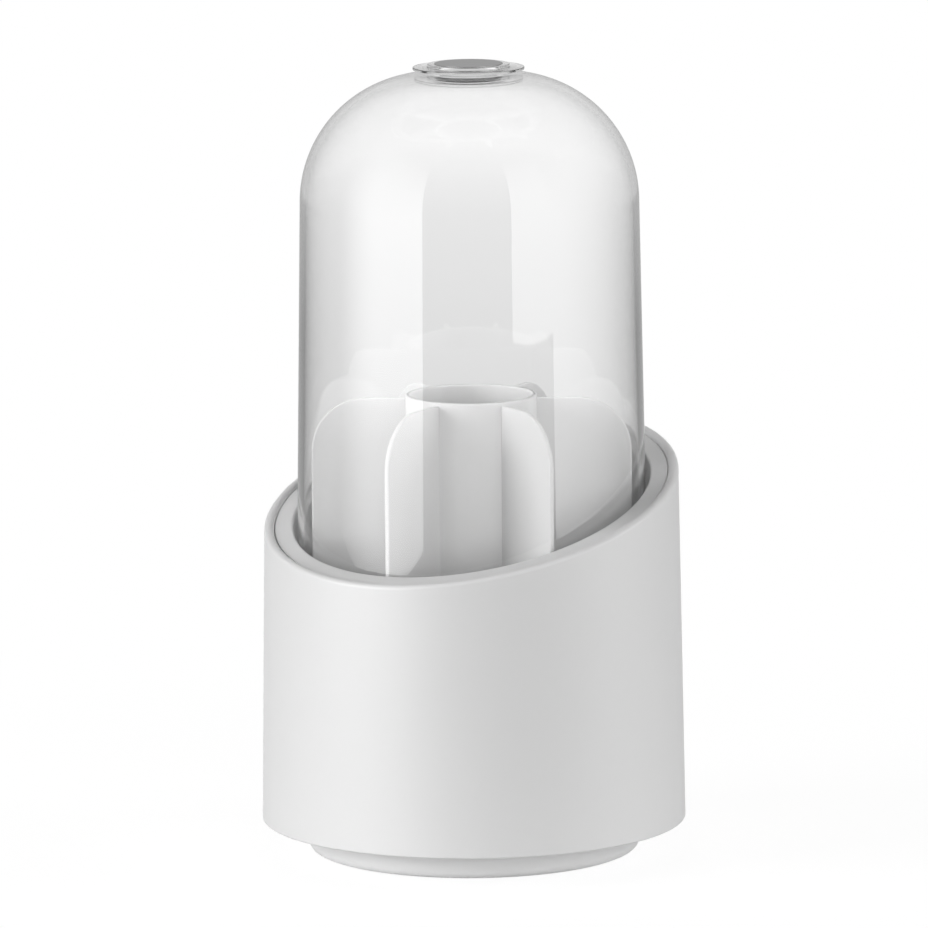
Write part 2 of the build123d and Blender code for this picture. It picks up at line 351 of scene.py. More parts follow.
@dataclass
class Surface:
    """A grid of points in two parameters, whose columns run round.

    Attributes:
        points: place of each point, by row and column.
        wrap_rows: whether the last row is joined to the first.
        caps: whether the first and the last row are closed by a face.
    """

    points: Array
    wrap_rows: bool = False
    caps: bool = False

    def faces(self, first: int) -> list[list[int]]:
        """Join each point to its neighbours in the next row and column.

        Args:
            first: number of the grid's first vertex in its mesh.

        Returns:
            Vertex numbers of each face.
        """
        rows, columns = self.points.shape[:2]
        row, column = np.meshgrid(
            np.arange(rows if self.wrap_rows else rows - 1), np.arange(columns), indexing="ij"
        )
        after, beside = (row + 1) % rows, (column + 1) % columns
        corners = [
            row * columns + column,
            row * columns + beside,
            after * columns + beside,
            after * columns + column,
        ]
        faces = (np.stack(corners, axis=-1).reshape(-1, 4) + first).tolist()
        if self.caps:
            ring = np.arange(columns) + first
            faces += [ring[::-1].tolist(), (ring + (rows - 1) * columns).tolist()]
        return faces


def unit(vectors: Array) -> Array:
    """Scale vectors, along the last axis, to a length of 1."""
    return vectors / np.linalg.norm(vectors, axis=-1, keepdims=True)


def rounded_outline(
    corners: Array, rounds: Sequence[float], closed: bool, guard: float = 0.3 * MM, chord: float = 3 * MM
) -> Array:
    """Round the corners of an outline, in every column at once.

    With unit vectors a and b from a corner to its neighbours and w the angle between them, an arc of
    radius r touches both sides at r / tan(w / 2) from the corner, and its centre lies r / sin(w / 2)
    along the bisector. Its points turn evenly from one contact to the other. A guard point on each side
    just past the arc keeps flat stretches flat under smooth shading.

    Args:
        corners: radius and height of each corner in each column.
        rounds: radius of each corner, 0 for a sharp one.
        closed: whether the last corner is joined to the first.
        guard: distance from the arc to its guard points.
        chord: longest step along an arc.

    Returns:
        Radius and height of each point in each column.
    """
    before, behind = np.roll(corners, 1, axis=0), np.roll(corners, -1, axis=0)
    rows: list[Array] = []
    for index, (corner, radius) in enumerate(zip(corners, rounds)):
        if radius == 0 or (not closed and index in (0, len(corners) - 1)):
            rows.append(corner[None])
            continue
        a, b = unit(before[index] - corner), unit(behind[index] - corner)
        angle = np.arccos(np.clip((a * b).sum(axis=-1, keepdims=True), -1, 1))
        reach = radius / np.tan(angle / 2)
        centre = corner + unit(a + b) * radius / np.sin(angle / 2)
        start, end = corner + a * reach - centre, corner + b * reach - centre
        turn = np.pi - angle
        count = max(ARC_STEPS, math.ceil(radius * float(turn.max()) / chord))
        share = np.linspace(0, 1, count + 1)[:, None, None]
        arc = (np.sin((1 - share) * turn) * start + np.sin(share * turn) * end) / np.sin(turn)
        guards = [(corner + side * (reach + guard))[None] for side in (a, b)]
        rows += [guards[0], centre + arc, guards[1]]
    return np.concatenate(rows)


def lathe(outline: Array, centre: tuple[float, float] = (0.0, 0.0)) -> Array:
    """Turn an outline round a vertical axis: x = r cos t, y = r sin t, z = height.

    Args:
        outline: radius and height of each point, in each column or in a single one.
        centre: place of the axis.

    Returns:
        Points by row and column.
    """
    columns = outline.shape[1] if outline.shape[1] > 1 else TURN_STEPS
    angle = turn_angles(columns)
    radius, height = np.broadcast_arrays(outline[..., 0], outline[..., 1])
    height = np.broadcast_to(height, (len(outline), columns))
    return np.stack(
        [centre[0] + radius * np.cos(angle), centre[1] + radius * np.sin(angle), height], axis=-1
    )


def turn_angles(steps: int = TURN_STEPS) -> Array:
    """Even angles of one turn, from 0."""
    return np.linspace(0, 2 * np.pi, steps, endpoint=False)


def profile(*corners: tuple[Any, Any]) -> Array:
    """Stack corners, each a radius and a height that may vary by column, into one array.

    Args:
        corners: radius and height of each corner, as numbers or arrays over the turn.

    Returns:
        Corners by row and column.
    """
    columns = max(np.size(value) for corner in corners for value in corner)
    return np.stack(
        [np.stack([np.broadcast_to(value, columns) for value in corner], axis=-1) for corner in corners]
    )


def turned(points: Array, angle: float) -> Array:
    """Turn points about the Z axis by an angle."""
    cosine, sine = math.cos(angle), math.sin(angle)
    return points @ np.array([[cosine, sine, 0], [-sine, cosine, 0], [0, 0, 1]])


def add_piece(node: Node, surfaces: Sequence[Surface], finish: Finish) -> None:
    """Make one mesh of surfaces, dress it and let it stand for a node.

    Args:
        node: node that the piece stands for, and whose body it takes.
        surfaces: closed surfaces of the piece.
        finish: its finish.
    """
    vertices, faces = np.empty((0, 3)), []
    for surface in surfaces:
        faces += surface.faces(len(vertices))
        vertices = np.concatenate([vertices, surface.points.reshape(-1, 3)])
    mesh = bpy.data.meshes.new(f"{node.value}_skin")
    mesh.from_pydata(vertices.tolist(), [], faces)
    grid = bmesh.new()
    grid.from_mesh(mesh)
    bmesh.ops.remove_doubles(grid, verts=grid.verts, dist=WELD_DISTANCE)
    bmesh.ops.recalc_face_normals(grid, faces=grid.faces)
    grid.to_mesh(mesh)
    grid.free()
    mesh.shade_smooth()
    mesh.set_sharp_from_angle(angle=SHARP_ANGLE)
    mesh.materials.append(material_of(finish))
    piece = bpy.data.objects.new(f"{node.value}_skin", mesh)
    bpy.context.scene.collection.objects.link(piece)
    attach(piece, BODY_OF[node.value])
    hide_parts(node.value)
    LOG.info("%s: %d faces in %s", piece.name, len(mesh.polygons), finish.name)


def dress_node(node: Node, finish: Finish) -> None:
    """Give a node that keeps its own shape a finish.

    Args:
        node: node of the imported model.
        finish: its finish.
    """
    for holder in frame["nodes"][node.value].material_slots:
        holder.material = material_of(finish)
    LOG.info("%s: own shape in %s", node.value, finish.name)


@dataclass
class Foot:
    """The dish that stands on the table, with its pads, the lower race and the bush."""

    radius: float = field(default_factory=Node.FOOT_DISH.reach)
    bottom: float = field(default_factory=Node.FOOT_DISH.bottom)
    top: float = field(default_factory=Node.FOOT_DISH.top)
    plate_top: float = field(default_factory=Node.LOWER_RACE.bottom)
    recess_top: float = field(default_factory=Node.PIVOT_BUSH.bottom)
    wall: float = 2.0 * MM
    edge_round: float = 2.4 * MM
    lip_round: float = 0.4 * MM
    recess_radius: float = 7.5 * MM
    hub_radius: float = 9.8 * MM
    bush_hole: float = 3.81 * MM
    bush_flange: float = 0.8 * MM
    ring_outer: float = 29.55 * MM
    ring_inner: float = 28.35 * MM
    ring_height: float = 1.2 * MM
    rib_count: int = 6
    rib_thickness: float = 1.4 * MM
    rib_height: float = 2.0 * MM
    pad_count: int = 4
    pad_radius: float = 5.0 * MM
    pad_round: float = 0.3 * MM

    def dish(self) -> Surface:
        """Turn the dish: rounded lower edge, thin wall, race ring, hub and screw recess.

        Returns:
            The dish.
        """
        ring_top = self.plate_top + self.ring_height
        hub_top = Node.PIVOT_BUSH.top() - self.bush_flange
        inner = self.radius - self.wall
        corners = profile(
            (self.recess_radius, self.bottom),
            (self.radius, self.bottom),
            (self.radius, self.top),
            (inner, self.top),
            (inner, self.plate_top),
            (self.ring_outer, self.plate_top),
            (self.ring_outer, ring_top),
            (self.ring_inner, ring_top),
            (self.ring_inner, self.plate_top),
            (self.hub_radius, self.plate_top),
            (self.hub_radius, hub_top),
            (self.bush_hole, hub_top),
            (self.bush_hole, self.recess_top),
            (self.recess_radius, self.recess_top),
        )
        rounds = [self.lip_round, self.edge_round, self.lip_round, self.lip_round] + [0.0] * 10
        return Surface(lathe(rounded_outline(corners, rounds, closed=True)), wrap_rows=True)

    def rib(self, angle: float) -> Surface:
        """Carry a rectangle along one rib, from the hub to the race ring.

        Args:
            angle: direction of the rib.

        Returns:
            The rib.
        """
        half, top = self.rib_thickness / 2, self.plate_top + self.rib_height
        overlap = (self.ring_outer - self.ring_inner) / 2
        ends = np.array([self.hub_radius - overlap, self.ring_inner + overlap])
        section = np.array([[-half, self.plate_top], [half, self.plate_top], [half, top], [-half, top]])
        along, across = np.meshgrid(ends, section[:, 0], indexing="ij")
        points = np.stack([along, across, np.broadcast_to(section[:, 1], along.shape)], axis=-1)
        return Surface(turned(points, angle), caps=True)

    def pad(self, angle: float) -> Surface:
        """Turn one pad, a flat disc with a rounded lower edge.

        Args:
            angle: direction of the pad from the axis.

        Returns:
            The pad.
        """
        low, high = Node.GRIP_PADS.bottom(), Node.GRIP_PADS.top()
        distance = Node.GRIP_PADS.reach() - self.pad_radius
        corners = profile((0, low), (self.pad_radius, low), (self.pad_radius, high), (0, high))
        outline = rounded_outline(corners, [0, self.pad_round, 0, 0], closed=False, guard=FINE_GUARD)
        return Surface(lathe(outline, (distance * math.cos(angle), distance * math.sin(angle))))

    def build(self) -> None:
        """Make and dress the foot's pieces."""
        ribs = [self.rib(angle) for angle in turn_angles(self.rib_count)]
        add_piece(Node.FOOT_DISH, [self.dish(), *ribs], FOOT_ABS_PAINTED_LIGHTER)
        add_piece(Node.GRIP_PADS, [self.pad(angle) for angle in turn_angles(self.pad_count)], PAD_RUBBER)
        dress_node(Node.LOWER_RACE, RACE_STEEL)
        dress_node(Node.PIVOT_BUSH, BUSH_ACETAL)


@dataclass
class BallRing:
    """The balls between the races, and the cage that spaces them."""

    def build(self) -> None:
        """Dress the cage and the balls."""
        dress_node(Node.BALL_CAGE, CAGE_NYLON)
        dress_node(Node.BEARING_BALLS, BALL_STEEL)


@dataclass
class Pot:
    """The turning pot: a drafted shell with a slanted rim, and the liner inside it."""

    foot_radius: float = field(default_factory=Node.OUTER_SHELL.reach)
    bottom: float = field(default_factory=Node.UPPER_RACE.top)
    boss_bottom: float = field(default_factory=Node.OUTER_SHELL.bottom)
    height: float = 96.6 * MM
    draft: float = math.tan(math.radians(0.94))
    slope: float = math.tan(math.radians(16.07))
    wall: float = 3.0 * MM
    floor: float = 2.5 * MM
    rim_round: float = 1.3 * MM
    foot_round: float = 0.6 * MM
    boss_radius: float = 6.0 * MM
    boss_top: float = 17.0 * MM
    boss_hole: float = 2.05 * MM
    ring_outer: float = 29.55 * MM
    ring_inner: float = 28.35 * MM
    ring_height: float = 1.2 * MM
    liner_bottom: float = 18.0 * MM
    liner_floor: float = 2.0 * MM
    liner_wall: float = 1.8 * MM
    cup_radius: float = 48.815 * MM
    opening_radius: float = 52.515 * MM
    seat_thickness: float = 2.0 * MM
    flange_clearance: float = 0.12 * MM
    flange_recess: float = 0.9 * MM
    flange_thickness: float = 2.0 * MM
    flange_round: float = 0.7 * MM
    collar_radius: float = 17.4 * MM
    collar_wall: float = 1.5 * MM
    collar_height: float = 4.0 * MM
    liner_edge: float = 0.3 * MM
    liner_foot_round: float = 0.6 * MM
    screw_count: int = 4
    screw_circle: float = 42.5 * MM
    screw_boss_radius: float = 4.0 * MM
    screw_hole: float = 1.55 * MM

    def slant(self, level: float, radius: float, draft: float) -> Array:
        """Height at which a slanted plane cuts a drafted wall, round the turn.

        The plane is z = level + slope y, and the wall r = radius - draft (z - bottom). With y = r sin t
        that gives z = (level + slope sin t (radius + draft bottom)) / (1 + slope draft sin t).

        Args:
            level: height of the plane on the axis.
            radius: radius of the wall at the pot's bottom.
            draft: how fast the wall leans inwards.

        Returns:
            One height per column.
        """
        rise = self.slope * np.sin(turn_angles())
        return (level + rise * (radius + draft * self.bottom)) / (1 + rise * draft)

    def leaning(self, radius: float, height: Array | float) -> Array | float:
        """Radius of a drafted wall at a height, from its radius at the pot's bottom."""
        return radius - self.draft * (height - self.bottom)

    def shell(self) -> Surface:
        """Turn the shell: drafted wall with a rounded slanted rim, floor, pivot boss and race ring.

        Returns:
            The shell.
        """
        inner_radius = self.foot_radius - self.wall
        rim_level = self.bottom + self.height
        outer_rim = self.slant(rim_level, self.foot_radius, self.draft)
        inner_rim = self.slant(rim_level, inner_radius, self.draft)
        floor_top, ring_bottom = self.bottom + self.floor, self.bottom - self.ring_height
        corners = profile(
            (self.boss_hole, self.boss_bottom),
            (self.boss_radius, self.boss_bottom),
            (self.boss_radius, self.bottom),
            (self.ring_inner, self.bottom),
            (self.ring_inner, ring_bottom),
            (self.ring_outer, ring_bottom),
            (self.ring_outer, self.bottom),
            (self.foot_radius, self.bottom),
            (self.leaning(self.foot_radius, outer_rim), outer_rim),
            (self.leaning(inner_radius, inner_rim), inner_rim),
            (self.leaning(inner_radius, floor_top), floor_top),
            (self.boss_radius, floor_top),
            (self.boss_radius, self.boss_top),
            (self.boss_hole, self.boss_top),
        )
        rounds = [0.0] * 7 + [self.foot_round, self.rim_round, self.rim_round] + [0.0] * 4
        outline = rounded_outline(corners, rounds, closed=True, guard=FINE_GUARD)
        return Surface(lathe(outline), wrap_rows=True)

    def liner(self) -> Surface:
        """Turn the liner: cup, seat for the cover, wide mouth, slanted flange and the tube's collar.

        Returns:
            The liner.
        """
        flange_radius = self.foot_radius - self.wall - self.flange_clearance
        normal_scale = math.hypot(1, self.slope)
        top_level = self.bottom + self.height - self.flange_recess * normal_scale
        under_level = top_level - self.flange_thickness * normal_scale
        mouth_wall = self.opening_radius + self.liner_wall
        mouth_top = self.slant(top_level, self.opening_radius, 0.0)
        mouth_under = self.slant(under_level, mouth_wall, 0.0)
        flange_top = self.slant(top_level, flange_radius, self.draft)
        flange_under = self.slant(under_level, flange_radius, self.draft)
        seat, floor_top = Node.DOME_COVER.bottom(), self.liner_bottom + self.liner_floor
        collar_top, collar_inner = floor_top + self.collar_height, self.collar_radius - self.collar_wall
        corners = profile(
            (0, self.liner_bottom),
            (self.cup_radius + self.liner_wall, self.liner_bottom),
            (self.cup_radius + self.liner_wall, seat - self.seat_thickness),
            (mouth_wall, seat - self.seat_thickness),
            (mouth_wall, mouth_under),
            (self.leaning(flange_radius, flange_under), flange_under),
            (self.leaning(flange_radius, flange_top), flange_top),
            (self.opening_radius, mouth_top),
            (self.opening_radius, seat),
            (self.cup_radius, seat),
            (self.cup_radius, floor_top),
            (self.collar_radius, floor_top),
            (self.collar_radius, collar_top),
            (collar_inner, collar_top),
            (collar_inner, floor_top),
            (0, floor_top),
        )
        edge, foot = self.liner_edge, self.liner_foot_round
        rounds = [0, foot, 0, 0, 0, 0, edge, self.flange_round, 0, edge, 0, 0, edge, edge, 0, 0]
        return Surface(lathe(rounded_outline(corners, rounds, closed=False, guard=FINE_GUARD)))

    def screw_boss(self, angle: float) -> Surface:
        """Turn one hollow screw boss under the liner's floor.

        Args:
            angle: direction of the boss from the axis.

        Returns:
            The boss.
        """
        low = self.bottom + self.floor
        corners = profile(
            (self.screw_hole, low),
            (self.screw_boss_radius, low),
            (self.screw_boss_radius, self.liner_bottom),
            (self.screw_hole, self.liner_bottom),
        )
        centre = (self.screw_circle * math.cos(angle), self.screw_circle * math.sin(angle))
        return Surface(lathe(corners, centre), wrap_rows=True)

    def build(self) -> None:
        """Make and dress the pot's pieces."""
        half_step = math.pi / self.screw_count
        bosses = [self.screw_boss(angle + half_step) for angle in turn_angles(self.screw_count)]
        add_piece(Node.OUTER_SHELL, [self.shell()], SHELL_ABS)
        add_piece(Node.INNER_LINER, [self.liner(), *bosses], LINER_ABS)
        dress_node(Node.UPPER_RACE, RACE_STEEL)
        for node in (Node.LINER_SCREWS, Node.PIVOT_SCREW, Node.PIVOT_WASHER):
            dress_node(node, SCREW_ZINC)


@dataclass
class Divider:
    """The lift-out moulding of a tube and radial fins."""

    bottom: float = field(default_factory=Node.DIVIDER.bottom)
    top: float = field(default_factory=Node.DIVIDER.top)
    reach: float = field(default_factory=lambda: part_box(Node.DIVIDER.value)[1].y)
    tube_radius: float = 19.3 * MM
    wall: float = 1.5 * MM
    rim_round: float = 0.55 * MM
    fin_count: int = 6
    fin_drop: float = 1.0 * MM
    fin_corner: float = 16.0 * MM
    fin_round: float = 0.5 * MM
    edge_points: int = 6
    guard: float = 0.2 * MM

    def tube(self) -> Surface:
        """Turn the tube, with both edges of its mouth rounded.

        Returns:
            The tube.
        """
        inner = self.tube_radius - self.wall
        corners = profile(
            (inner, self.bottom),
            (self.tube_radius, self.bottom),
            (self.tube_radius, self.top),
            (inner, self.top),
        )
        outline = rounded_outline(corners, [0, 0, self.rim_round, self.rim_round], closed=True)
        return Surface(lathe(outline), wrap_rows=True)

    def fin(self, angle: float) -> Surface:
        """Carry a rounded edge along a fin's outline and close it at the root.

        The outline runs up the outer edge, round the corner and in along the top. At each of its points
        the edge is two quarter circles across the thickness, set in along the outline's normal, and
        each side then runs flat to the root inside the tube's wall.

        Args:
            angle: direction of the fin.

        Returns:
            The fin.
        """
        root, fin_top = self.tube_radius - self.wall / 2, self.top - self.fin_drop
        corners = profile((self.reach, self.bottom), (self.reach, fin_top), (root, fin_top))
        path = rounded_outline(corners, [0, self.fin_corner, 0], closed=False, chord=MM)[:, 0]
        along = unit(np.gradient(path, axis=0))
        normal = np.stack([along[:, 1], -along[:, 0]], axis=-1)
        half, inset = self.wall / 2, self.fin_round
        quarter = np.linspace(0, np.pi / 2, self.edge_points)
        rising, falling = inset * np.sin(quarter), inset * np.cos(quarter)
        rise = np.concatenate([[-self.guard], rising, falling, [-self.guard]])
        flat = half - inset
        across = np.concatenate([[-half], -flat - falling, flat + rising, [half]])
        edge = path[:, None] + normal[:, None] * (rise - inset)[None, :, None]
        root_height = np.minimum(path[:, 1], fin_top - inset - self.guard)
        root_line = np.stack([np.full(len(path), root), root_height], axis=-1)[:, None]
        plane = np.concatenate([root_line, edge, root_line], axis=1)
        sideways = np.broadcast_to(np.concatenate([[-half], across, [half]]), plane.shape[:2])
        points = np.stack([plane[..., 0], sideways, plane[..., 1]], axis=-1)
        return Surface(turned(points, angle), caps=True)

    def build(self) -> None:
        """Make and dress the divider."""
        quarter_turn = math.pi / 2
        fins = [self.fin(angle - quarter_turn) for angle in turn_angles(self.fin_count)]
        add_piece(Node.DIVIDER, [self.tube(), *fins], DIVIDER_PS)


@dataclass
class Cover:
    """The clear cover, its knob and the knob's grey disc."""

    foot_radius: float = field(default_factory=Node.DOME_COVER.reach)
    seat: float = field(default_factory=Node.DOME_COVER.bottom)
    crown: float = field(default_factory=Node.DOME_COVER.top)
    draft: float = math.tan(math.radians(1.02))
    wall: float = 1.8 * MM
    shoulder: float = 37.5 * MM
    edge_round: float = 0.5 * MM
    spigot_hole: float = 4.05 * MM
    bond_gap: float = 0.03 * MM
    spigot_radius: float = 4.0 * MM
    knob_radius: float = field(default_factory=Node.KNOB.reach)
    knob_thickness: float = 0.8 * MM
    knob_round: float = 0.2 * MM
    neck_radius: float = 8.5 * MM
    neck_round: float = 0.5 * MM
    button_radius: float = 12.0 * MM
    button_height: float = 0.9 * MM
    button_top: float = field(default_factory=Node.KNOB.top)
    button_round: float = 0.2 * MM
    badge_radius: float = field(default_factory=Node.KNOB_BADGE.reach)
    badge_bottom: float = field(default_factory=Node.KNOB_BADGE.bottom)
    badge_top: float = field(default_factory=Node.KNOB_BADGE.top)
    badge_round: float = 0.15 * MM
    badge_clearance: float = 0.05 * MM

    def wall_radius(self, height: float) -> float:
        """Outer radius of the drafted wall at a height."""
        return self.foot_radius - self.draft * (height - self.seat)

    def dome(self) -> Surface:
        """Turn the cover: drafted wall, large shoulder and flat crown with a hole for the spigot.

        Returns:
            The cover.
        """
        inside = self.crown - self.wall
        corners = profile(
            (self.foot_radius, self.seat),
            (self.wall_radius(self.crown), self.crown),
            (self.spigot_hole, self.crown),
            (self.spigot_hole, inside),
            (self.wall_radius(inside) - self.wall, inside),
            (self.foot_radius - self.wall, self.seat),
        )
        rounds = [self.edge_round, self.shoulder, 0, 0, self.shoulder - self.wall, self.edge_round]
        return Surface(lathe(rounded_outline(corners, rounds, closed=True, chord=MM)), wrap_rows=True)

    def knob(self) -> Surface:
        """Turn the knob: thin disc with a raised button, on a neck with a spigot into the crown.

        Returns:
            The knob.
        """
        recess = self.badge_radius + self.badge_clearance
        disc_top = self.button_top - self.button_height
        under = disc_top - self.knob_thickness
        neck_bottom, tip = self.crown + self.bond_gap, self.crown - self.wall
        corners = profile(
            (0, self.badge_bottom),
            (recess, self.badge_bottom),
            (recess, self.button_top),
            (self.button_radius, self.button_top),
            (self.button_radius, disc_top),
            (self.knob_radius, disc_top),
            (self.knob_radius, under),
            (self.neck_radius, under),
            (self.neck_radius, neck_bottom),
            (self.spigot_radius, neck_bottom),
            (self.spigot_radius, tip),
            (0, tip),
        )
        button, disc = self.button_round, self.knob_round
        rounds = [0, 0, 0, button, button, disc, disc, self.neck_round, 0, 0, 0, 0]
        return Surface(lathe(rounded_outline(corners, rounds, closed=False, guard=FINE_GUARD)))

    def badge(self) -> Surface:
        """Turn the disc in the knob's recess, just clear of it and with a rounded upper edge.

        Returns:
            The disc.
        """
        low, high = self.badge_bottom + self.bond_gap, self.badge_top
        corners = profile((0, low), (self.badge_radius, low), (self.badge_radius, high), (0, high))
        outline = rounded_outline(corners, [0, 0, self.badge_round, 0], closed=False, guard=FINE_GUARD)
        return Surface(lathe(outline))

    def build(self) -> None:
        """Make and dress the cover's pieces."""
        add_piece(Node.DOME_COVER, [self.dome()], COVER_PS)
        add_piece(Node.KNOB, [self.knob()], KNOB_PS)
        add_piece(Node.KNOB_BADGE, [self.badge()], BADGE_FOIL)


def add_panel(
    name: str, place: Vector, facing: Vector, size: tuple[float, float], radiance: float
) -> bpy.types.Object:
    """Add a lamp panel that the camera doesn't see.

    An area lamp of power P and area A has a radiance of P / (pi A).

    Args:
        name: name of the lamp.
        place: its centre.
        facing: direction that it shines in.
        size: its width and height.
        radiance: its brightness, where 1 is white.

    Returns:
        The lamp's object.
    """
    lamp = bpy.data.lights.new(name, "AREA")
    lamp.shape = "RECTANGLE"
    lamp.size, lamp.size_y = size
    lamp.energy = radiance * math.pi * size[0] * size[1]
    panel = bpy.data.objects.new(name, lamp)
    panel.location = place
    panel.rotation_euler = (-facing).to_track_quat("Z", "Y").to_euler()
    panel.visible_camera = False
    bpy.context.scene.collection.objects.link(panel)
    LOG.info("%s: %.2f by %.2f m", name, *size)
    return panel


def bearing_vector(camera_azimuth: float, bearing: float) -> Vector:
    """Level direction from the axis, in degrees to the right of the camera's."""
    angle = math.radians(camera_azimuth + bearing)
    return Vector((math.sin(angle), -math.cos(angle), 0))


@dataclass(frozen=True)
class Lamp:
    """A soft lamp that lights matt surfaces and shows in no reflection.

    Attributes:
        name: name of the lamp.
        bearing: direction from the axis, in degrees to the right of the camera's.
        level: brightness of a white matt wall that faces it, where 1 is white.
        height: height of its centre.
        distance: level distance of its centre from the axis.
        size: length of its sides.
        aim: height of the point that it faces.
    """

    name: str
    bearing: float
    level: float
    height: float = 0.5
    distance: float = 1.4
    size: float = 0.8
    aim: float = 0.1

    def place(self, camera_azimuth: float) -> None:
        """Add the lamp, with a radiance of level pi D^2 / A at a distance D and of an area A.

        Args:
            camera_azimuth: direction of the camera in degrees.
        """
        centre = bearing_vector(camera_azimuth, self.bearing) * self.distance + Vector((0, 0, self.height))
        ray = Vector((0, 0, self.aim)) - centre
        radiance = self.level * math.pi * ray.length_squared / self.size**2
        panel = add_panel(self.name, centre, ray.normalized(), (self.size, self.size), radiance)
        panel.visible_glossy = panel.visible_transmission = False


@dataclass(frozen=True)
class Card:
    """A bright panel beside the object that only shows in reflections.

    Attributes:
        name: name of the panel.
        inner: bearing of the edge next to the camera.
        outer: bearing of the far edge.
        radiance: brightness, where 1 is white.
        side_fade_share: share of the width over which it fades to the outer edge.
        low: height of the lower edge.
        high: height of the upper edge.
        top_fade_share: share of the height over which it fades to the upper edge.
        distance: distance of the panel from the axis.
    """

    name: str
    inner: float
    outer: float
    radiance: float
    side_fade_share: float
    low: float = 0.0
    high: float = 0.9
    top_fade_share: float = 0.93
    distance: float = 0.62

    def place(self, camera_azimuth: float) -> None:
        """Add the panel and let its brightness fade across it.

        Args:
            camera_azimuth: direction of the camera in degrees.
        """
        outwards = bearing_vector(camera_azimuth, (self.inner + self.outer) / 2)
        centre = outwards * self.distance + Vector((0, 0, (self.low + self.high) / 2))
        width = 2 * self.distance * math.tan(math.radians(abs(self.outer - self.inner) / 2))
        panel = add_panel(self.name, centre, -outwards, (width, self.high - self.low), self.radiance)
        panel.visible_diffuse = panel.visible_transmission = False
        panel.data.use_nodes = True
        tree = panel.data.node_tree
        tree.nodes.clear()
        spot = add_node(tree, "ShaderNodeNewGeometry").outputs["Parametric"]
        share = add_node(tree, "ShaderNodeSeparateXYZ", inputs={0: spot})
        far_edge = 1.0 if self.outer > self.inner else 0.0
        full = abs(far_edge - self.side_fade_share)
        sideways = add_node(
            tree,
            "ShaderNodeMapRange",
            {"interpolation_type": "SMOOTHSTEP"},
            {"Value": share.outputs["X"], "From Min": far_edge, "From Max": full},
        )
        upwards = add_node(
            tree,
            "ShaderNodeMapRange",
            {"interpolation_type": "SMOOTHSTEP"},
            {"Value": share.outputs["Y"], "From Min": 1.0, "From Max": 1.0 - self.top_fade_share},
        )
        fade = add_node(
            tree,
            "ShaderNodeMath",
            {"operation": "MULTIPLY"},
            {0: sideways.outputs["Result"], 1: upwards.outputs["Result"]},
        )
        glow = add_node(tree, "ShaderNodeEmission", inputs={"Strength": fade.outputs[0]})
        add_node(tree, "ShaderNodeOutputLight", inputs={"Surface": glow.outputs["Emission"]})


